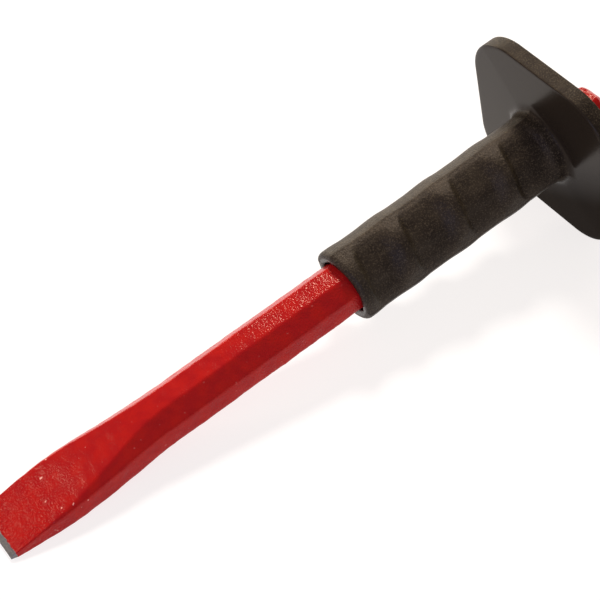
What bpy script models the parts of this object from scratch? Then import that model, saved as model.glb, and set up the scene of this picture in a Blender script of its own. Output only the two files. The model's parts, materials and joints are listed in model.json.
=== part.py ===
"""Cold chisel with a moulded hand guard, lying on its blade and the guard's lower edge.

Each piece is modelled along its own axis: X runs from the cutting edge to the
struck head, Y along the cutting edge and Z through the blade's thickness. An
empty then leans both pieces onto the surface they lie on.
"""

import math

import bmesh
import bpy
from mathutils import Euler, Matrix, Vector

mm = 0.001

# The steel: one octagonal bar, forged flat to a blade and ground to an edge
chiselLength = 300 * mm
shankAcrossFlats = 21.2 * mm
shankChamfer = 6.0 * mm       # each corner taken off the square bar, per side
edgeWidth = 25.4 * mm         # the blade's width at the cutting edge
bladeWidth = 27.2 * mm        # and where it is widest
bladeThickness = 3.1 * mm     # where the ground edge begins
bladeChamfer = 0.3 * mm
edgeThickness = 0.3 * mm      # the small flat that a ground edge keeps
grindLength = 2.7 * mm
widestAt = 27 * mm            # from the cutting edge
taperLength = 78 * mm         # from the cutting edge to the full bar
taperBlend = 11 * mm          # the soft run from the taper into the bar, each way
headChamfer = 2.4 * mm

# The moulding: a finger grip and a square guard plate in one piece
gripWall = 5.8 * mm           # outside the flats of the bar
gripDiameter = shankAcrossFlats + 2 * gripWall
gripLength = 105 * mm         # from the mouth to the guard's front face
guardWidth = 82.2 * mm          # along the cutting edge
guardHeight = 82.2 * mm
guardThickness = 7.0 * mm
headStandout = 22 * mm        # bar left bare behind the guard
guardFront = chiselLength - headStandout - guardThickness
guardCornerRadius = 24 * mm
guardRimRadius = 1.4 * mm
guardFillet = 4.0 * mm        # where the grip meets the guard
mouthRimRadius = 2.2 * mm
boreClearance = 0.3 * mm      # each side, between the bar and the moulding
boreOverrun = 1 * mm          # the cutters stand this far out of the moulding
mouthDepth = 5.0 * mm         # the wider mouth of the bore
mouthGap = 1.0 * mm           # each side, between the bar and the mouth

fingerCount = 4               # in a row that fills the grip
fingerRidge = 4.5 * mm        # left standing between two recesses
fingerDepth = 1.5 * mm
fingerHalfAngle = math.radians(46)

gripSegments = 64
fingerSteps = 17
taperSteps = 18


def clearScene():
    for obj in list(bpy.data.objects):
        bpy.data.objects.remove(obj, do_unlink=True)


def makeCollection(name):
    collection = bpy.data.collections.new(name)
    bpy.context.scene.collection.children.link(collection)
    return collection


def makeMaterial(name, colour, roughness, metallic):
    material = bpy.data.materials.new(name)
    material.use_nodes = True
    shader = material.node_tree.nodes["Principled BSDF"]
    shader.inputs["Base Color"].default_value = (*colour, 1.0)
    shader.inputs["Roughness"].default_value = roughness
    shader.inputs["Metallic"].default_value = metallic
    material.diffuse_color = (*colour, 1.0)
    return material


def objectFromMesh(name, shape, collection):
    """Turn a bmesh into a named object in a collection."""
    bmesh.ops.recalc_face_normals(shape, faces=shape.faces)
    mesh = bpy.data.meshes.new(name)
    shape.to_mesh(mesh)
    shape.free()
    obj = bpy.data.objects.new(name, mesh)
    collection.objects.link(obj)
    return obj


def chamferedRectangle(x, halfWidth, halfHeight, chamfer):
    """Eight corners of a section across the chisel."""
    innerY = halfWidth - chamfer
    innerZ = halfHeight - chamfer
    corners = [
        (innerY, halfHeight), (-innerY, halfHeight), (-halfWidth, innerZ), (-halfWidth, -innerZ),
        (-innerY, -halfHeight), (innerY, -halfHeight), (halfWidth, -innerZ), (halfWidth, innerZ),
    ]
    return [Vector((x, y, z)) for y, z in corners]


def smoothStep(value):
    value = min(max(value, 0.0), 1.0)
    return value * value * (3 - 2 * value)


def bladeSection(x):
    """Half width, half height and chamfer of the forging at a place along it."""
    halfBar = shankAcrossFlats / 2
    halfEdge = bladeThickness / 2
    meeting = taperLength - taperBlend      # where the straight taper would reach the bar
    slope = (halfBar - halfEdge) / (meeting - grindLength)
    halfHeight = halfEdge + slope * (x - grindLength)
    blendStart = meeting - taperBlend
    if x > blendStart:
        inBlend = (x - blendStart) / (2 * taperBlend)
        halfHeight -= slope * taperBlend * inBlend * inBlend

    spread = smoothStep((x - widestAt) / (taperLength - widestAt))
    halfWidth = bladeWidth / 2 + (halfBar - bladeWidth / 2) * spread
    if x < widestAt:
        halfWidth += (edgeWidth - bladeWidth) / 2 * (1 - x / widestAt)

    along = (x - grindLength) / (taperLength - grindLength)
    chamfer = bladeChamfer + (shankChamfer - bladeChamfer) * smoothStep(along ** 1.25)
    return halfWidth, halfHeight, chamfer


def makeChisel(collection):
    """Loft the forging through its sections, from the cutting edge to the head."""
    halfBar = shankAcrossFlats / 2
    sections = [(0.0, edgeWidth / 2, edgeThickness / 2, edgeThickness / 6)]
    for step in range(taperSteps + 1):
        x = grindLength + (taperLength - grindLength) * step / taperSteps
        sections.append((x, *bladeSection(x)))
    sections.append((chiselLength - headChamfer, halfBar, halfBar, shankChamfer))
    halfFace = halfBar - headChamfer
    sections.append((chiselLength, halfFace, halfFace, shankChamfer * halfFace / halfBar))

    shape = bmesh.new()
    rings = []
    for x, halfWidth, halfHeight, chamfer in sections:
        corners = chamferedRectangle(x, halfWidth, halfHeight, chamfer)
        rings.append([shape.verts.new(corner) for corner in corners])
    for ring, following in zip(rings, rings[1:]):
        for index in range(len(ring)):
            after = (index + 1) % len(ring)
            shape.faces.new((ring[index], ring[after], following[after], following[index]))
    shape.faces.new(rings[0])
    shape.faces.new(rings[-1])
    return objectFromMesh("chisel", shape, collection)


def octagonCutter(name, start, end, acrossFlats, chamfer, collection):
    """An eight-sided bar that cuts the bore, from start to end along the grip."""
    half = acrossFlats / 2
    shape = bmesh.new()
    rings = []
    for x in (start, end):
        corners = chamferedRectangle(x, half, half, chamfer)
        rings.append([shape.verts.new(corner) for corner in corners])
    for index in range(len(rings[0])):
        after = (index + 1) % len(rings[0])
        shape.faces.new((rings[0][index], rings[0][after], rings[1][after], rings[1][index]))
    shape.faces.new(rings[0])
    shape.faces.new(rings[1])
    return objectFromMesh(name, shape, collection)


def fingerCutter(name, middle, length, direction, collection):
    """A part ring with sloping ends that sinks one finger recess into the grip."""
    floor = gripDiameter / 2 - fingerDepth
    outside = gripDiameter / 2 + fingerDepth
    floorHalf = length / 2 - fingerDepth
    outsideHalf = length / 2 + fingerDepth
    outline = [(-outsideHalf, outside), (outsideHalf, outside), (floorHalf, floor), (-floorHalf, floor)]
    shape = bmesh.new()
    start = Matrix.Rotation(direction - fingerHalfAngle, 4, "X")
    corners = [shape.verts.new(start @ Vector((middle + along, 0, radius))) for along, radius in outline]
    face = shape.faces.new(corners)
    bmesh.ops.spin(
        shape, geom=[face, *face.edges, *face.verts], cent=(0, 0, 0), axis=(1, 0, 0),
        angle=2 * fingerHalfAngle, steps=fingerSteps, use_duplicate=False,
    )
    return objectFromMesh(name, shape, collection)


def boolean(target, other, operation):
    modifier = target.modifiers.new(other.name, "BOOLEAN")
    modifier.operation = operation
    modifier.solver = "EXACT"
    modifier.object = other


def arc(centre, radius, start, end, steps):
    """Points along an arc; angles in degrees, from +X towards the profile's outside."""
    points = []
    for step in range(steps + 1):
        turn = math.radians(start + (end - start) * step / steps)
        points.append((centre[0] + radius * math.cos(turn), centre[1] + radius * math.sin(turn)))
    return points


def makeGrip(collection):
    """A turned sleeve: rounded at its mouth and flared where it meets the guard."""
    mouth = guardFront - gripLength
    outer = gripDiameter / 2
    inGuard = guardFront + guardThickness / 2
    rim = arc((mouth + mouthRimRadius, outer - mouthRimRadius), mouthRimRadius, 180, 90, 4)
    flare = arc((guardFront - guardFillet, outer + guardFillet), guardFillet, 270, 340, 4)
    outline = [(mouth, 0.0), *rim, *flare, (inGuard, flare[-1][1] + mm), (inGuard, 0.0)]
    profile = bmesh.new()
    points = [profile.verts.new((x, 0, radius)) for x, radius in outline]
    for point, following in zip(points, points[1:]):
        profile.edges.new((point, following))
    grip = objectFromMesh("hand_guard", profile, collection)
    turned = grip.modifiers.new("turned", "SCREW")
    turned.axis = "X"
    turned.steps = gripSegments
    turned.render_steps = gripSegments
    turned.use_merge_vertices = True
    turned.merge_threshold = 0.01 * mm
    turned.use_normal_calculate = True
    return grip


def makePlate(collection):
    """The square guard plate with round corners and a softened rim."""
    shape = bmesh.new()
    bmesh.ops.create_cube(shape, size=1.0)
    bmesh.ops.scale(shape, vec=(guardThickness, guardWidth, guardHeight), verts=shape.verts)
    corners = [edge for edge in shape.edges if abs(edge.verts[0].co.x - edge.verts[1].co.x) > mm]
    bmesh.ops.bevel(
        shape, geom=corners, offset=guardCornerRadius, segments=10, profile=0.5, affect="EDGES",
    )
    middle = guardFront + guardThickness / 2
    bmesh.ops.translate(shape, vec=(middle, 0, 0), verts=shape.verts)
    plate = objectFromMesh("guard_plate_tool", shape, collection)
    rim = plate.modifiers.new("rim", "BEVEL")
    rim.width = guardRimRadius
    rim.segments = 3
    rim.limit_method = "ANGLE"
    rim.angle_limit = math.radians(60)
    return plate


def makeGuard(collection, cutters):
    """Join the sleeve and the plate, then cut the finger recesses and the bore."""
    guard = makeGrip(collection)
    boolean(guard, makePlate(cutters), "UNION")
    mouth = guardFront - gripLength
    pitch = gripLength / fingerCount
    for side, direction in (("near", math.radians(45)), ("far", math.radians(225))):
        for finger in range(fingerCount):
            middle = mouth + (finger + 0.5) * pitch
            name = f"finger_tool_{side}_{finger + 1}"
            cutter = fingerCutter(name, middle, pitch - fingerRidge, direction, cutters)
            boolean(guard, cutter, "DIFFERENCE")
    bore = octagonCutter(
        "bore_tool", mouth - boreOverrun, guardFront + guardThickness + boreOverrun,
        shankAcrossFlats + 2 * boreClearance, shankChamfer, cutters,
    )
    boolean(guard, bore, "DIFFERENCE")
    opening = octagonCutter(
        "mouth_tool", mouth - boreOverrun, mouth + mouthDepth,
        shankAcrossFlats + 2 * mouthGap, shankChamfer + mouthGap / 2, cutters,
    )
    boolean(guard, opening, "DIFFERENCE")
    return guard


def restingLean():
    """Angle of the chisel's axis when it lies on its blade and the guard's lower edge."""
    alongToRim = guardFront + guardRimRadius - grindLength
    downToRim = guardHeight / 2 - guardRimRadius - bladeThickness / 2
    distance = math.hypot(alongToRim, downToRim)
    return math.atan2(downToRim, alongToRim) + math.asin(guardRimRadius / distance)


def main():
    clearScene()
    parts = makeCollection("cold_chisel")
    cutters = makeCollection("cutters")

    chisel = makeChisel(parts)
    chisel.data.materials.append(makeMaterial("red_paint", (0.42, 0.012, 0.014), 0.38, 0.0))
    guard = makeGuard(parts, cutters)
    guard.data.materials.append(makeMaterial("black_moulding", (0.022, 0.019, 0.017), 0.55, 0.0))

    lean = restingLean()
    halfBar = shankAcrossFlats / 2
    farEnd = chiselLength * math.cos(lean) + (halfBar - headChamfer) * math.sin(lean)
    nearEnd = -edgeThickness / 2 * math.sin(lean)
    lowest = grindLength * math.sin(lean) - bladeThickness / 2 * math.cos(lean)
    resting = bpy.data.objects.new("resting_pose", None)
    resting.location = (-(farEnd + nearEnd) / 2, 0, -lowest)
    resting.rotation_euler = Euler((0, -lean, 0))
    parts.objects.link(resting)
    chisel.parent = resting
    guard.parent = resting

    for cutter in cutters.objects:
        cutter.parent = resting
        cutter.hide_render = True
        cutter.display_type = "WIRE"


main()
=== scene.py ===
import json
import math

import bpy
import numpy as np
from mathutils import Matrix, Vector


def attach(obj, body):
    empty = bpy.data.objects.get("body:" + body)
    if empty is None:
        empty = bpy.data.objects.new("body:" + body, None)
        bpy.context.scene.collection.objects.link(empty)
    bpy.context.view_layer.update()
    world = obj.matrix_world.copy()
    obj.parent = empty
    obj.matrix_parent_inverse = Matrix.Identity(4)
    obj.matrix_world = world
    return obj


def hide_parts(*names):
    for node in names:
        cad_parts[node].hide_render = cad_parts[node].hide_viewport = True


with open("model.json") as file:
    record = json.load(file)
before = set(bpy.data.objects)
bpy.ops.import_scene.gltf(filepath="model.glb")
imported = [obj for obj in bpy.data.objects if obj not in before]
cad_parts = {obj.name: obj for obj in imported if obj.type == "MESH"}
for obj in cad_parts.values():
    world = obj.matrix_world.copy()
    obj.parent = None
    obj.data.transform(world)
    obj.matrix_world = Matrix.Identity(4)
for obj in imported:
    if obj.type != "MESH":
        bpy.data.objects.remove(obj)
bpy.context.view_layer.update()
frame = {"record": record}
mm = 0.001


# The joint runs along the tool's own axis, and the striking face is its far end
record = frame["record"]
slide = record["behaviour"]["joints"][0]
struckEnd = next(mount for mount in record["mounts"] if mount["name"] == "striking_face")

forging = {
    "length": 300 * mm,
    "acrossFlats": 21.2 * mm,
    "cornerCut": 6.0 * mm,        # taken off each corner of the square bar
    "edgeWidth": 25.4 * mm,
    "bladeWidth": 27.2 * mm,
    "bladeThickness": 3.1 * mm,
    "bladeCut": 0.3 * mm,
    "edgeThickness": 0.3 * mm,
    "grindLength": 2.7 * mm,
    "widestAt": 27 * mm,
    "taperLength": 78 * mm,
    "taperBlend": 11 * mm,
    "headChamfer": 2.4 * mm,
    "cornerRound": 0.75 * mm,
    "flatPoints": 6,
    "cornerPoints": 4,
    "spacing": 0.9 * mm,
    "hammerHeight": 0.07 * mm,
    "hammerSize": 4.5 * mm,
    "hammerSeed": 11,
    "waveHeight": 0.12 * mm,
    "waveSize": 26 * mm,
    "waveSeed": 12,
    "edgeRound": 0.12 * mm,
    "unworked": 4 * mm,           # the hammering fades over this distance at either end
    "sharpAngle": 28,
}
halfBar = forging["acrossFlats"] / 2


# Tool axes: X along the chisel from its edge, Y along the edge, Z through the blade
def toolFrame():
    along = Vector(slide["axis"]).normalized()
    across = Vector((0, 1, 0))
    through = along.cross(across)
    tip = Vector(struckEnd["pos_m"]) - forging["length"] * along
    turn = Matrix((along, across, through)).transposed().to_4x4()
    return Matrix.Translation(tip) @ turn


toWorld = toolFrame()


def smoothStep(value):
    value = np.clip(value, 0, 1)
    return value * value * (3 - 2 * value)


# Soft seeded unevenness at each point, about -1 to 1, as a sum of crossing sines
def waves(points, size, seed, octaves=3):
    rng = np.random.default_rng(seed)
    total = np.zeros(len(points))
    height = 0
    for octave in range(octaves):           # each finer and weaker than the last
        scale = 2 * math.pi / (size * 0.55 ** octave)
        weight = 0.6 ** octave
        for _ in range(9):
            direction = rng.normal(size=3)
            direction /= np.linalg.norm(direction)
            stretch = rng.uniform(0.6, 1.4)
            turn = rng.uniform(0, 2 * math.pi)
            total += weight * np.sin(points @ direction * scale * stretch + turn)
        height += weight
    return total / (height * 2.6)


# A quad mesh through equal rings of points, each ring closed round
def gridObject(name, rings, closedAlong=False, caps=False):
    rings = np.asarray(rings)
    count, around, _ = rings.shape
    index = np.arange(count * around).reshape(count, around)
    if closedAlong:
        index = np.vstack([index, index[:1]])
    low, high = index[:-1], index[1:]
    quads = np.stack([low, np.roll(low, -1, 1), np.roll(high, -1, 1), high], -1)
    faces = quads.reshape(-1, 4).tolist()
    if caps:
        faces.append(index[0][::-1].tolist())
        faces.append(index[-1].tolist())
    mesh = bpy.data.meshes.new(name)
    mesh.from_pydata(rings.reshape(-1, 3).tolist(), [], faces)
    mesh.update()
    obj = bpy.data.objects.new(name, mesh)
    bpy.context.scene.collection.objects.link(obj)
    return obj


def vertexNormals(mesh):
    normals = np.empty(len(mesh.vertices) * 3)
    mesh.vertices.foreach_get("normal", normals)
    return normals.reshape(-1, 3)


def vertexPoints(mesh):
    points = np.empty(len(mesh.vertices) * 3)
    mesh.vertices.foreach_get("co", points)
    return points.reshape(-1, 3)


def pushAlongNormals(obj, heights):
    mesh = obj.data
    points = vertexPoints(mesh) + vertexNormals(mesh) * np.asarray(heights)[:, None]
    mesh.vertices.foreach_set("co", points.ravel())
    mesh.update()


# Shade smooth between sharp edges, and lay the finished mesh down on the surface the tool lies on
def settle(obj, sharpAngle):
    obj.data.shade_smooth()
    obj.data.set_sharp_from_angle(angle=math.radians(sharpAngle))
    obj.data.transform(toWorld)
    points = vertexPoints(obj.data)
    points[:, 2] = np.maximum(points[:, 2], 0)          # nothing dips below the surface
    obj.data.vertices.foreach_set("co", points.ravel())
    obj.data.update()


# Half width, half height and corner cut of the forging at a place along it
def bladeSection(x):
    halfEdge = forging["bladeThickness"] / 2
    grind = forging["grindLength"]
    if x < grind:
        share = x / grind
        lowest = forging["edgeThickness"] / 2
        halfHeight = lowest + (halfEdge - lowest) * share
        cut = min(forging["bladeCut"], halfHeight * 0.35)       # never more than the thin edge can give
    elif x < forging["taperLength"]:
        meeting = forging["taperLength"] - forging["taperBlend"]
        slope = (halfBar - halfEdge) / (meeting - grind)
        halfHeight = halfEdge + slope * (x - grind)
        blendStart = meeting - forging["taperBlend"]
        if x > blendStart:
            inBlend = (x - blendStart) / (2 * forging["taperBlend"])
            halfHeight -= slope * forging["taperBlend"] * inBlend * inBlend
        along = (x - grind) / (forging["taperLength"] - grind)
        growth = smoothStep(along ** 1.25)                  # the octagon comes in late
        cut = forging["bladeCut"] + (forging["cornerCut"] - forging["bladeCut"]) * growth
    else:
        halfHeight = halfBar
        cut = forging["cornerCut"]
    widest = forging["widestAt"]
    spread = smoothStep((x - widest) / (forging["taperLength"] - widest))
    halfWidth = forging["bladeWidth"] / 2 + (halfBar - forging["bladeWidth"] / 2) * spread
    if x < widest:
        halfWidth += (forging["edgeWidth"] - forging["bladeWidth"]) / 2 * (1 - x / widest)
    return halfWidth, halfHeight, cut


# Points round an eight-cornered section, with each corner eased
def roundedSection(x, halfWidth, halfHeight, cut, rounding):
    innerY = halfWidth - cut
    innerZ = halfHeight - cut
    corners = np.array([
        (innerY, halfHeight), (-innerY, halfHeight), (-halfWidth, innerZ), (-halfWidth, -innerZ),
        (-innerY, -halfHeight), (innerY, -halfHeight), (halfWidth, -innerZ), (halfWidth, innerZ),
    ])
    following = np.roll(corners, -1, 0)
    lengths = np.linalg.norm(following - corners, axis=1)
    setback = min(rounding, 0.42 * lengths.min())       # leaves some flat between two corners
    ring = []
    for index, corner in enumerate(corners):
        before = corners[index - 1]
        after = following[index]
        entering = corner + (before - corner) / np.linalg.norm(before - corner) * setback
        leaving = corner + (after - corner) / np.linalg.norm(after - corner) * setback
        for step in range(forging["cornerPoints"]):
            share = step / (forging["cornerPoints"] - 1)
            rest = 1 - share
            ring.append(rest ** 2 * entering + 2 * share * rest * corner + share ** 2 * leaving)
        nextEntering = after + (corner - after) / lengths[index] * setback
        for step in range(1, forging["flatPoints"] + 1):
            share = step / (forging["flatPoints"] + 1)
            ring.append(leaving + (nextEntering - leaving) * share)
    ring = np.array(ring)
    return np.column_stack([np.full(len(ring), x), ring])


def makeChisel():
    rings = []
    grind = forging["grindLength"]
    for x in np.linspace(0, grind, 9):
        rings.append(roundedSection(x, *bladeSection(x), forging["edgeRound"]))
    chamfer = forging["headChamfer"]
    shoulder = forging["length"] - chamfer
    rows = round((shoulder - grind) / forging["spacing"])
    for x in np.linspace(grind, shoulder, rows)[1:]:
        rings.append(roundedSection(x, *bladeSection(x), forging["cornerRound"]))
    for share in (0.12, 0.35, 0.6, 0.85, 1.0):      # over the chamfer, a little rounded
        half = halfBar - chamfer * (share ** 1.25)
        x = shoulder + chamfer * share
        cut = forging["cornerCut"] * half / halfBar
        rings.append(roundedSection(x, half, half, cut, forging["cornerRound"]))
    face = rings[-1]
    for share in (0.93, 0.8, 0.6, 0.4, 0.2, 0.05):
        ring = face.copy()
        ring[:, 1:] *= share
        rings.append(ring)
    chisel = gridObject("chisel_forging", rings, caps=True)

    points = vertexPoints(chisel.data)
    fine = waves(points, forging["hammerSize"], forging["hammerSeed"])
    broad = waves(points, forging["waveSize"], forging["waveSeed"], 2)
    unworked = forging["unworked"]
    painted = smoothStep((points[:, 0] - grind) / unworked)
    inside = 1 - smoothStep((points[:, 0] - forging["length"] + unworked) / unworked) * 0.6
    inwards = broad - 0.6                   # mostly dents, so the bar doesn't outgrow its size
    heights = fine * forging["hammerHeight"] + inwards * forging["waveHeight"]
    pushAlongNormals(chisel, heights * painted * inside)
    settle(chisel, forging["sharpAngle"])
    return chisel


moulding = {
    "plateFront": 271 * mm,
    "gripLength": 105 * mm,
    "gripRadius": 16.4 * mm,
    "plateHalf": 40.88 * mm,
    "plateThickness": 7.0 * mm,
    "plateCorner": 24 * mm,
    "plateRim": 0.5 * mm,
    "plateRise": 0.6 * mm,          # the front falls away this much towards its rim
    "fillet": 4.0 * mm,
    "lip": 2.2 * mm,
    "innerLip": 1.3 * mm,
    "lipSlant": 1.3 * mm,           # the far upper side of the mouth reaches further forward
    "slantLength": 14 * mm,
    "boreGap": 0.3 * mm,
    "mouthGap": 0.8 * mm,
    "mouthDepth": 5.0 * mm,
    "fingers": 4,
    "fingerDepth": 2.5 * mm,
    "fingerHalfAngle": math.radians(60),
    "archDepth": 3.5 * mm,
    "waveDepth": 0.4 * mm,
    "fingerSide": math.radians(45),     # the middle of the row, from the top towards the near side
    "landHalfAngle": math.radians(60),
    "landStep": 0.2 * mm,
    "landBlend": 1.3 * mm,
    "creaseHeight": 0.45 * mm,      # the land's edge stands up as a soft crease
    "creaseHalfWidth": 4.2 * mm,
    "ridgeSlant": 1.3 * mm,         # the ridges run a little askew
    "descent": 2.8 * mm,            # steep behind each ridge
    "rise": 7.5 * mm,               # and gentler up to the next
    "sideRise": 12 * mm,
    "ridge": 1.0 * mm,              # plain top of each ridge
    "mouthRim": 4.5 * mm,           # plain sleeve before the first recess
    "boreCorners": 60,              # the higher, the sharper the octagon's corners
    "openingCorners": 34,
    "sharpAngle": 42,
    "columns": 288,
    "rowSpacing": 0.5 * mm,
}
mouth = moulding["plateFront"] - moulding["gripLength"]
sleeveEnd = moulding["plateFront"] - moulding["fillet"]
theta = np.arange(moulding["columns"]) * 2 * math.pi / moulding["columns"]
outward = np.column_stack([-np.sin(theta), np.cos(theta)])      # across, through


# A ring of points at distance radius, one value or one for each column
def ringAt(x, radius):
    spots = outward * np.broadcast_to(radius, theta.shape)[:, None]
    return np.column_stack([np.broadcast_to(x, theta.shape), spots])


# Distance to an octagonal wall in each column's direction, with eased corners
def octagonRadius(half, cut, soften):
    flat = half
    slanted = (2 * half - cut) / math.sqrt(2)
    nearness = np.zeros_like(theta)
    for turn in range(8):
        distance = flat if turn % 2 == 0 else slanted
        facing = np.cos(theta - turn * math.pi / 4) / distance
        nearness += np.clip(facing, 0, None) ** soften
    return 1 / nearness ** (1 / soften)


# Rim points of the plate and the rim's own outward direction in each column
def plateOutline():
    half = moulding["plateHalf"]
    corner = moulding["plateCorner"]
    inner = half - corner
    size = np.abs(outward)
    flatReach = half / size.max(1)
    flatSpot = size * flatReach[:, None]
    onFlat = flatSpot.min(1) <= inner
    lean = inner * size.sum(1)
    cornerReach = lean + np.sqrt(lean ** 2 - (2 * inner ** 2 - corner ** 2))
    cornerSpot = size * cornerReach[:, None]
    spots = np.where(onFlat[:, None], flatSpot, cornerSpot)
    flatNormal = (size == size.max(1)[:, None]).astype(float)
    flatNormal /= np.linalg.norm(flatNormal, axis=1)[:, None]
    normals = np.where(onFlat[:, None], flatNormal, (cornerSpot - inner) / corner)
    signs = np.where(outward < 0, -1, 1)
    return spots * signs, normals * signs


# Each column's angle away from the nearer of two opposite directions
def angleFrom(direction):
    return np.abs((theta - direction + math.pi / 2) % math.pi - math.pi / 2)


# Outside of the sleeve at a place along it: lands, finger recesses and soft waves
def gripRadius(x):
    arc = angleFrom(moulding["fingerSide"]) * moulding["gripRadius"]
    landEdge = moulding["landHalfAngle"] * moulding["gripRadius"]
    land = smoothStep((landEdge - arc) / moulding["landBlend"])
    crease = np.clip(1 - np.abs(arc - landEdge) / moulding["creaseHalfWidth"], 0, 1)
    radius = moulding["gripRadius"] - moulding["landStep"] * land + moulding["creaseHeight"] * crease

    pitch = moulding["gripLength"] / moulding["fingers"]
    slant = moulding["ridgeSlant"] * np.sin(2 * (theta - moulding["fingerSide"]))
    slant *= smoothStep((x - mouth) / (8 * mm)) * smoothStep((sleeveEnd - x) / (8 * mm))
    number = np.floor((x + slant - mouth) / pitch)
    place = x + slant - mouth - number * pitch
    reach = moulding["fingerHalfAngle"] * moulding["gripRadius"]
    ends = moulding["archDepth"] * np.clip(arc / reach, 0, 1) ** 3      # the recess ends in an arch
    start = np.where(number == 0, moulding["mouthRim"], moulding["ridge"])
    descent = smoothStep((place - start - ends) / moulding["descent"])
    rise = smoothStep((pitch - moulding["ridge"] - ends - place) / moulding["rise"])
    sideways = smoothStep((reach - arc) / moulding["sideRise"])
    wave = smoothStep((place - start) / (7 * mm)) * smoothStep((pitch - place) / (11 * mm))
    depth = moulding["fingerDepth"] * descent * rise * sideways + moulding["waveDepth"] * wave
    return radius - depth


# The bore from the plate's back to the wider mouth, and the mouth with its rounded inner lip
def boreRings(bore, opening, back):
    rings = []
    step = mouth + moulding["mouthDepth"]
    for x in np.linspace(back - 0.5 * mm, step + 0.3 * mm, 40):
        rings.append(ringAt(x, bore))
    for share in (0.0, 0.15, 0.5, 0.85, 1.0):
        rings.append(ringAt(step, bore + (opening - bore) * share))
    innerLip = moulding["innerLip"]
    for x in np.linspace(step - 0.3 * mm, mouth + innerLip, 8):
        rings.append(ringAt(x, opening))
    for turn in np.radians((30, 60, 90)):
        x = mouth + innerLip * (1 - math.sin(turn))
        rings.append(ringAt(x, opening + innerLip * (1 - math.cos(turn))))
    return rings


# The outer lip and the sleeve's outside up to the fillet
def sleeveRings(opening):
    rings = []
    lip = moulding["lip"]
    start = gripRadius(mouth + lip)
    rings.append(ringAt(mouth, (opening + moulding["innerLip"] + start - lip) / 2))
    for turn in np.radians((0, 18, 36, 54, 72, 90)):
        rings.append(ringAt(mouth + lip * (1 - math.cos(turn)), start - lip * (1 - math.sin(turn))))
    rows = round((sleeveEnd - mouth - lip) / moulding["rowSpacing"])
    for x in np.linspace(mouth + lip, sleeveEnd, rows)[1:]:
        rings.append(ringAt(x, gripRadius(x)))
    return rings


# The fillet, the plate's front, its rim and its back
def plateRings(bore, back):
    rings = []
    front = moulding["plateFront"]
    fillet = moulding["fillet"]
    base = gripRadius(sleeveEnd)
    rimSpots, rimNormals = plateOutline()
    rim = moulding["plateRim"]

    def onFront(spots):
        height = moulding["plateRise"] * (1 - np.abs(spots).max(1) / moulding["plateHalf"])
        return np.column_stack([front - height, spots])

    def onRim(x, turn):
        spots = rimSpots - rimNormals * rim * (1 - math.sin(turn))
        return np.column_stack([np.full(len(theta), x), spots])

    for turn in np.radians((15, 30, 45, 60, 75)):
        radius = base + fillet * (1 - math.cos(turn))
        lowered = onFront(outward * radius[:, None])[:, 0] - front
        x = front - fillet * (1 - math.sin(turn)) + lowered * math.sin(turn) ** 2
        rings.append(ringAt(x, radius))
    filletEnd = outward * (base + fillet)[:, None]
    frontEdge = rimSpots - rimNormals * rim
    for share in np.linspace(0, 1, 22):
        rings.append(onFront(filletEnd + (frontEdge - filletEnd) * share))
    for turn in np.radians((22, 45, 68, 90)):
        rings.append(onRim(front + rim * (1 - math.cos(turn)), turn))
    for x in np.linspace(front + rim, back - rim, 6)[1:]:
        rings.append(onRim(x, math.pi / 2))
    for turn in np.radians((68, 45, 22, 0)):
        rings.append(onRim(back - rim * (1 - math.cos(turn)), turn))
    boreSpots = outward * (bore + 0.5 * mm)[:, None]
    for share in np.linspace(0, 1, 22)[1:]:
        spots = frontEdge + (boreSpots - frontEdge) * share
        rings.append(np.column_stack([np.full(len(theta), back), spots]))
    return rings


def makeGuard():
    back = moulding["plateFront"] + moulding["plateThickness"]
    mouthGap = moulding["mouthGap"]
    bore = octagonRadius(halfBar + moulding["boreGap"], forging["cornerCut"], moulding["boreCorners"])
    opening = octagonRadius(
        halfBar + mouthGap, forging["cornerCut"] + mouthGap / 2, moulding["openingCorners"],
    )
    rings = np.array(boreRings(bore, opening, back) + sleeveRings(opening) + plateRings(bore, back))

    # The mouth leans forward on its far upper side, which fades out along the sleeve
    slanted = moulding["slantLength"]
    nearMouth = smoothStep((mouth + slanted - rings[:, :, 0]) / slanted)
    forward = (rings[:, :, 1] + rings[:, :, 2]) / (1.6 * moulding["gripRadius"])
    rings[:, :, 0] -= moulding["lipSlant"] * nearMouth * np.clip(forward, 0, 1)
    guard = gridObject("guard_moulding", rings, closedAlong=True)
    settle(guard, moulding["sharpAngle"])
    return guard


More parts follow.
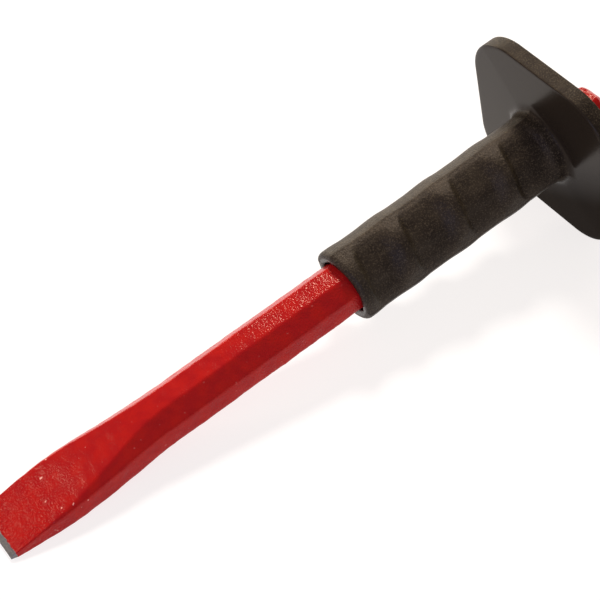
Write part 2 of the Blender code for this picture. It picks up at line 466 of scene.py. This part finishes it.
# A small wrapper that adds and links a material's nodes
class Shader:
    def __init__(self, name):
        self.material = bpy.data.materials.new(name)
        self.material.use_nodes = True
        self.tree = self.material.node_tree
        self.surface = self.tree.nodes["Principled BSDF"]
        onTool = self.add("ShaderNodeMapping", vector_type="TEXTURE")     # back to the tool's own axes
        self.put(onTool.inputs["Vector"], self.add("ShaderNodeTexCoord").outputs["Object"])
        self.put(onTool.inputs["Location"], toWorld.translation)
        self.put(onTool.inputs["Rotation"], toWorld.to_euler())
        self.place = onTool.outputs["Vector"]

    def add(self, kind, **settings):
        node = self.tree.nodes.new(kind)
        for name, value in settings.items():
            setattr(node, name, value)
        return node

    # Set a socket to a number or colour, or link an output to it
    def put(self, socket, value):
        if isinstance(value, bpy.types.NodeSocket):
            self.tree.links.new(value, socket)
        else:
            socket.default_value = value

    def noise(self, size, detail=3.0, roughness=0.5, where=None):
        node = self.add("ShaderNodeTexNoise")
        self.put(node.inputs["Vector"], where or self.place)
        self.put(node.inputs["Scale"], 1 / size)
        self.put(node.inputs["Detail"], detail)
        self.put(node.inputs["Roughness"], roughness)
        return node.outputs["Fac"]

    def cells(self, size):
        node = self.add("ShaderNodeTexVoronoi", feature="SMOOTH_F1")
        self.put(node.inputs["Vector"], self.place)
        self.put(node.inputs["Scale"], 1 / size)
        self.put(node.inputs["Smoothness"], 0.7)
        return node.outputs["Distance"]

    # Small ragged spots in a few cells of a scattered pattern, 1 on a spot and 0 elsewhere
    def pitGlints(self, size, rarity, reach):
        wobble = self.add("ShaderNodeTexNoise")
        self.put(wobble.inputs["Vector"], self.place)
        self.put(wobble.inputs["Scale"], 1.6 / size)
        spread = self.add("ShaderNodeVectorMath", operation="MULTIPLY_ADD")
        self.put(spread.inputs[0], wobble.outputs["Color"])
        self.put(spread.inputs[1], (size * 0.9,) * 3)
        self.put(spread.inputs[2], self.place)
        node = self.add("ShaderNodeTexVoronoi")
        self.put(node.inputs["Vector"], spread.outputs[0])
        self.put(node.inputs["Scale"], 1 / size)
        pick = self.add("ShaderNodeSeparateColor")
        self.put(pick.inputs[0], node.outputs["Color"])
        chosen = self.math("GREATER_THAN", pick.outputs[0], rarity)
        spot = self.ramp(node.outputs["Distance"], reach * 0.6, reach, 1.0, 0.0)
        return self.math("MULTIPLY", chosen, spot)

    def math(self, operation, first, second):
        node = self.add("ShaderNodeMath", operation=operation)
        self.put(node.inputs[0], first)
        self.put(node.inputs[1], second)
        return node.outputs[0]

    # Map value from low..high to start..end, smoothly and clamped
    def ramp(self, value, low, high, start=0.0, end=1.0):
        node = self.add("ShaderNodeMapRange", interpolation_type="SMOOTHSTEP")
        self.put(node.inputs["From Min"], low)
        self.put(node.inputs["From Max"], high)
        self.put(node.inputs["To Min"], start)
        self.put(node.inputs["To Max"], end)
        self.put(node.inputs["Value"], value)
        return node.outputs["Result"]

    def mix(self, share, first, second):
        node = self.add("ShaderNodeMix", data_type="RGBA")
        self.put(node.inputs["Factor"], share)
        self.put(node.inputs["A"], first)
        self.put(node.inputs["B"], second)
        return node.outputs["Result"]

    def mixNumbers(self, share, first, second):
        node = self.add("ShaderNodeMix", data_type="FLOAT")
        self.put(node.inputs["Factor"], share)
        self.put(node.inputs["A"], first)
        self.put(node.inputs["B"], second)
        return node.outputs["Result"]

    def bump(self, height, distance, under=None):
        node = self.add("ShaderNodeBump")
        self.put(node.inputs["Height"], height)
        self.put(node.inputs["Distance"], distance)
        self.put(node.inputs["Strength"], 1.0)
        if under:
            self.put(node.inputs["Normal"], under)
        return node.outputs["Normal"]

    # Set several of the surface's own sockets at once
    def set(self, **values):
        for name, value in values.items():
            self.put(self.surface.inputs[name.replace("_", " ")], value)


paint = {
    "red": (0.44, 0.010, 0.008, 1),
    "deepRed": (0.38, 0.008, 0.009, 1),
    # pale specks: painted glints where small pits catch the light
    "pitGlint": (0.92, 0.42, 0.32, 1),
    "steel": (0.30, 0.285, 0.265, 1),
    "steelDark": (0.13, 0.12, 0.105, 1),
    "roughness": 0.2,
    "steelRoughness": 0.42,
    "steelMetallic": 0.6,
    "shine": 0.12,
    "shineColour": (1.0, 0.62, 0.46, 1),
    "hammerCell": 0.85 * mm,
    "hammerDepth": 0.08 * mm,
    "peelByEdge": (16 * mm, 34 * mm, 2.0, 0.35),        # from one place to the next, and the amount at each
    "peelByGrip": (85 * mm, 150 * mm, 0.0, 1.1),
    "peelInPatches": 0.25,
    "patchSize": 11 * mm,
    "cloudSize": 6 * mm,
    "wrinkleSize": 1.1 * mm,
    "grainSize": 0.45 * mm,
    "grainDepth": 0.02 * mm,
    "paintEnd": 2.4 * mm,
    "paintFeather": 0.25 * mm,
    "paintRagged": 1.3 * mm,
    "fraySize": 1.6 * mm,
    "dieMark": 24 * mm,           # a faint step across the blade, this far from the edge
    "dieMarkWidth": 1.2 * mm,
    "dieMarkDepth": 0.10 * mm,
    "dieMarkBow": 5 * mm,
    "bowSize": 9 * mm,
    # sizes, reach, rarity and placing of the painted glints of small pits
    "smallPitGlint": 1.8 * mm,
    "largePitGlint": 3.0 * mm,
    "smallPitGlintReach": 0.3,
    "largePitGlintReach": 0.22,
    "pitGlintRarity": 0.92,
    "pitGlintsPastEdge": (14 * mm, 26 * mm, 0.0, 1.0),
    "pitGlintsBeforeShank": (44 * mm, 62 * mm, 1.0, 0.12),
    "pitGlintGroupSize": 9 * mm,
    "streakSize": 0.25 * mm,
}


def redPaint():
    shader = Shader("red_hammered_paint")
    along = shader.add("ShaderNodeSeparateXYZ")
    shader.put(along.inputs[0], shader.place)
    fromEdge = along.outputs["X"]
    patches = shader.noise(paint["patchSize"], 2)
    cloud = shader.noise(paint["cloudSize"], 3)
    cells = shader.cells(paint["hammerCell"])
    wrinkles = shader.noise(paint["wrinkleSize"], 2)
    grain = shader.noise(paint["grainSize"], 2)

    # Orange peel in patches, strongest by the edge and towards the grip
    byEdge = shader.ramp(fromEdge, *paint["peelByEdge"])
    byGrip = shader.ramp(fromEdge, *paint["peelByGrip"])
    inPatches = shader.ramp(patches, 0.45, 0.7, 0.0, paint["peelInPatches"])
    amount = shader.math("ADD", shader.math("ADD", byEdge, byGrip), inPatches)
    peel = shader.math("ADD", cells, shader.math("MULTIPLY", wrinkles, 0.8))
    relief = shader.bump(shader.math("MULTIPLY", peel, amount), paint["hammerDepth"])

    bow = shader.math("MULTIPLY", shader.noise(paint["bowSize"], 1), paint["dieMarkBow"])
    bowed = shader.math("ADD", fromEdge, bow)
    step = shader.ramp(bowed, paint["dieMark"], paint["dieMark"] + paint["dieMarkWidth"])
    relief = shader.bump(step, paint["dieMarkDepth"], relief)
    relief = shader.bump(grain, paint["grainDepth"], relief)

    # The paint ends in a ragged line, and the steel before it is bare
    fraying = shader.math("SUBTRACT", shader.noise(paint["fraySize"], 4), 0.5)
    line = shader.math("ADD", fromEdge, shader.math("MULTIPLY", fraying, paint["paintRagged"]))
    bare = shader.ramp(line, paint["paintEnd"], paint["paintEnd"] + paint["paintFeather"], 1.0, 0.0)

    # Pale specks, painted glints where small pits catch the light, come in groups on the blade, and hardly
    # ever behind it
    small = shader.pitGlints(paint["smallPitGlint"], paint["pitGlintRarity"], paint["smallPitGlintReach"])
    large = shader.pitGlints(paint["largePitGlint"], paint["pitGlintRarity"], paint["largePitGlintReach"])
    pitGlints = shader.math("MAXIMUM", small, large)
    pastEdge = shader.ramp(fromEdge, *paint["pitGlintsPastEdge"])
    beforeShank = shader.ramp(fromEdge, *paint["pitGlintsBeforeShank"])
    onBlade = shader.math("MULTIPLY", pastEdge, beforeShank)
    groups = shader.ramp(shader.noise(paint["pitGlintGroupSize"], 1), 0.46, 0.54)
    grouped = shader.math("MULTIPLY", onBlade, groups)
    red = shader.mix(shader.ramp(cloud, 0.35, 0.7), paint["deepRed"], paint["red"])
    # pale specks painted over the red as glints of small pits catching the light
    red = shader.mix(shader.math("MULTIPLY", pitGlints, grouped), red, paint["pitGlint"])

    # Grinding marks run along the edge
    scratches = shader.add("ShaderNodeMapping")
    shader.put(scratches.inputs["Vector"], shader.place)
    shader.put(scratches.inputs["Scale"], (1, 0.08, 1))
    streaks = shader.noise(paint["streakSize"], 3, 0.6, scratches.outputs["Vector"])
    steel = shader.mix(streaks, paint["steelDark"], paint["steel"])
    shader.set(
        Base_Color=shader.mix(bare, red, steel),
        Metallic=shader.math("MULTIPLY", bare, paint["steelMetallic"]),
        Roughness=shader.mixNumbers(bare, paint["roughness"], paint["steelRoughness"]),
        Specular_IOR_Level=paint["shine"],
        Specular_Tint=paint["shineColour"],
        Normal=relief,
    )
    return shader.material


rubber = {
    "black": (0.014, 0.0098, 0.0068, 1),
    "worn": (0.027, 0.0195, 0.0125, 1),
    "fleck": (0.10, 0.074, 0.044, 1),
    "gripRoughness": 0.5,
    "plateRoughness": 0.2,
    "cloudSize": 8 * mm,
    "grainSize": 0.8 * mm,
    "grainDepth": 0.2 * mm,
    "plateGrain": 0.1,              # share of the grain that the plate's front keeps
    "fleckSize": 0.6 * mm,
    "lipRadius": 14.3 * mm,
    "lipRoughness": 0.25,
    "shineColour": (1.0, 0.78, 0.62, 1),
    "gripShine": 0.2,
    # the fillet's and the lower near corner's low shine is painted shade
    "shadedFilletShine": 0.03,
    "rimShine": 0.09,
    "shadedCornerShine": 0.005,             # on the plate's front, at its lower near corner
    "plateShine": 0.135,            # and on the rest of it
}


def blackMoulding():
    shader = Shader("black_grained_moulding")
    along = shader.add("ShaderNodeSeparateXYZ")
    shader.put(along.inputs[0], shader.place)
    fromEdge = along.outputs["X"]
    front = moulding["plateFront"]

    # The plate's front is smoother than the grip and the rim
    toFront = shader.ramp(fromEdge, front - 2.5 * mm, front - 0.7 * mm)
    toRim = shader.ramp(fromEdge, front + 0.1 * mm, front + 0.9 * mm, 1.0, 0.0)
    onPlate = shader.math("MULTIPLY", toFront, toRim)
    offPlate = shader.math("SUBTRACT", 1.0, onPlate)
    onRim = shader.math("SUBTRACT", 1.0, toRim)
    cloud = shader.noise(rubber["cloudSize"], 4)
    grain = shader.noise(rubber["grainSize"], 3, 0.6)
    pits = shader.cells(rubber["grainSize"] * 1.4)
    height = shader.math("ADD", grain, shader.math("MULTIPLY", pits, 0.6))
    strength = shader.mixNumbers(onPlate, 1.0, rubber["plateGrain"])
    relief = shader.bump(shader.math("MULTIPLY", height, strength), rubber["grainDepth"])

    # The inner lip of the mouth is rubbed shiny by the bar, and darkened as painted shade inside the mouth
    flattened = shader.add("ShaderNodeVectorMath", operation="MULTIPLY")
    shader.put(flattened.inputs[0], shader.place)
    shader.put(flattened.inputs[1], (0, 1, 1))
    fromAxis = shader.add("ShaderNodeVectorMath", operation="LENGTH")
    shader.put(fromAxis.inputs[0], flattened.outputs[0])
    lipEdge = rubber["lipRadius"]
    within = shader.ramp(fromAxis.outputs["Value"], lipEdge - 0.5 * mm, lipEdge + 0.3 * mm, 1.0, 0.0)
    atMouth = shader.ramp(fromEdge, mouth + 4 * mm, mouth + 6 * mm, 1.0, 0.0)
    shadedLip = shader.math("MULTIPLY", within, atMouth)

    # Worn patches and pale flecks, which the plate and the shaded lip don't have
    handled = shader.mixNumbers(onPlate, shader.ramp(cloud, 0.35, 0.7), 0.3)
    colour = shader.mix(handled, rubber["black"], rubber["worn"])
    # painted shade: the inner lip is kept at the plain black
    colour = shader.mix(shadedLip, colour, rubber["black"])
    flecks = shader.ramp(shader.noise(rubber["fleckSize"], 2, 0.6), 0.5, 0.66, 0.0, 0.5)
    flecks = shader.math("MULTIPLY", flecks, offPlate)
    flecks = shader.math("MULTIPLY", flecks, shader.math("SUBTRACT", 1.0, shadedLip))

    # The plate's front reflects less towards its lower near corner, as painted shade for the shadowed floor
    # it reflects, and the fillet reflects little all round, as painted shade in that corner
    sideways = shader.math("MULTIPLY", along.outputs["Y"], 0.6)
    upwards = shader.math("ADD", along.outputs["Z"], sideways)
    # painted shade: the reflection fades towards the plate's lower near corner
    onFront = shader.ramp(upwards, -34 * mm, 4 * mm, rubber["shadedCornerShine"], rubber["plateShine"])
    intoFillet = shader.ramp(fromEdge, sleeveEnd - 2.5 * mm, sleeveEnd)
    outOfFillet = shader.ramp(fromEdge, front - 1.4 * mm, front - 0.6 * mm, 1.0, 0.0)
    inFillet = shader.math("MULTIPLY", intoFillet, outOfFillet)
    onGrip = shader.mixNumbers(inFillet, rubber["gripShine"], rubber["shadedFilletShine"])
    elsewhere = shader.mixNumbers(onRim, onGrip, rubber["rimShine"])
    roughness = shader.mixNumbers(onPlate, rubber["gripRoughness"], rubber["plateRoughness"])
    shader.set(
        Base_Color=shader.mix(flecks, colour, rubber["fleck"]),
        Roughness=shader.mixNumbers(shadedLip, roughness, rubber["lipRoughness"]),
        Specular_IOR_Level=shader.mixNumbers(onPlate, elsewhere, onFront),
        Specular_Tint=rubber["shineColour"],
        Normal=relief,
    )
    return shader.material


studio = {
    "cameraDistance": 0.6244,
    "cameraAzimuth": -31.38,
    "cameraElevation": 48.485,
    "cameraAim": (-0.00258, 0.00495, 0.02574),
    "cameraRoll": -5.797,
    "lens": 94.48,
    "sensor": 36,
    "sky": 0.28,
    "skyColour": (1.0, 0.92, 0.84, 1),
    "floorReach": 4.0,
    "floorColour": (0.28, 0.28, 0.28, 1),
    "floorGlow": (0.80, 0.77, 0.745, 1),
    "lampAim": (0.03, 0, 0.03),
}
lamps = {
    "key": {"place": (0.425, 0.67, 1.08), "size": 0.3, "power": 14.5, "colour": (1.0, 0.95, 0.88)},
    "back": {
        "place": (0.4, 1.25, 0.28), "size": 3.0, "height": 0.5, "power": 22, "colour": (1.0, 0.91, 0.76),
    },
    "cool": {"place": (-0.85, -0.65, 0.50), "size": 0.5, "power": 5, "colour": (0.3, 0.42, 1.0)},
    "blade": {"place": (-0.60, 0.62, 0.80), "size": 0.2, "power": 2.4, "colour": (1.0, 0.84, 0.76)},
    "near": {"place": (0.30, -1.0, 0.62), "size": 1.0, "power": 0.7, "colour": (1.0, 0.93, 0.84)},
}


def floorMaterial():
    shader = Shader("pale_floor")
    shader.set(Base_Color=studio["floorColour"], Roughness=0.9, Specular_IOR_Level=0.1)
    shader.set(Emission_Color=studio["floorGlow"], Emission_Strength=1.0)
    return shader.material


def pointTo(obj, place, target):
    obj.location = place
    obj.rotation_euler = (Vector(target) - Vector(place)).to_track_quat("-Z", "Y").to_euler()


# A lamp that has a height is a rectangle, and any other is round
def areaLight(name, lamp):
    data = bpy.data.lights.new(name, "AREA")
    data.shape = "RECTANGLE" if "height" in lamp else "DISK"
    data.size = lamp["size"]
    data.size_y = lamp.get("height", lamp["size"])
    data.energy = lamp["power"]
    data.color = lamp["colour"]
    obj = bpy.data.objects.new(name, data)
    bpy.context.scene.collection.objects.link(obj)
    pointTo(obj, lamp["place"], studio["lampAim"])


def makeCamera():
    azimuth = math.radians(studio["cameraAzimuth"])
    elevation = math.radians(studio["cameraElevation"])
    level = math.cos(elevation)
    away = Vector((math.sin(azimuth) * level, -math.cos(azimuth) * level, math.sin(elevation)))
    camera = bpy.data.objects.new("camera", bpy.data.cameras.new("camera"))
    camera.data.lens = studio["lens"]
    camera.data.sensor_width = studio["sensor"]
    bpy.context.scene.collection.objects.link(camera)
    aim = Vector(studio["cameraAim"])
    pointTo(camera, aim + away * studio["cameraDistance"], aim)
    camera.rotation_euler.rotate_axis("Z", math.radians(studio["cameraRoll"]))
    bpy.context.scene.camera = camera


def makeRoom():
    floor = bpy.data.meshes.new("floor")
    reach = studio["floorReach"]
    corners = [(-reach, -reach, 0), (reach, -reach, 0), (reach, reach, 0), (-reach, reach, 0)]
    floor.from_pydata(corners, [], [(0, 1, 2, 3)])
    floorObject = bpy.data.objects.new("floor", floor)
    bpy.context.scene.collection.objects.link(floorObject)
    floor.materials.append(floorMaterial())

    world = bpy.data.worlds.new("studio")
    bpy.context.scene.world = world
    world.use_nodes = True
    sky = world.node_tree.nodes["Background"]
    sky.inputs["Color"].default_value = studio["skyColour"]
    sky.inputs["Strength"].default_value = studio["sky"]
    for name, lamp in lamps.items():
        areaLight(name, lamp)
    makeCamera()
    bpy.context.scene.view_settings.view_transform = "Standard"


makeRoom()
print("room, lights and camera are in place")

chisel = makeChisel()
chisel.data.materials.append(redPaint())
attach(chisel, "forging")
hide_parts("chisel")
print("chisel made:", len(chisel.data.vertices), "points")

guard = makeGuard()
guard.data.materials.append(blackMoulding())
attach(guard, "guard")
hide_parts("hand_guard")
print("hand guard made:", len(guard.data.vertices), "points")
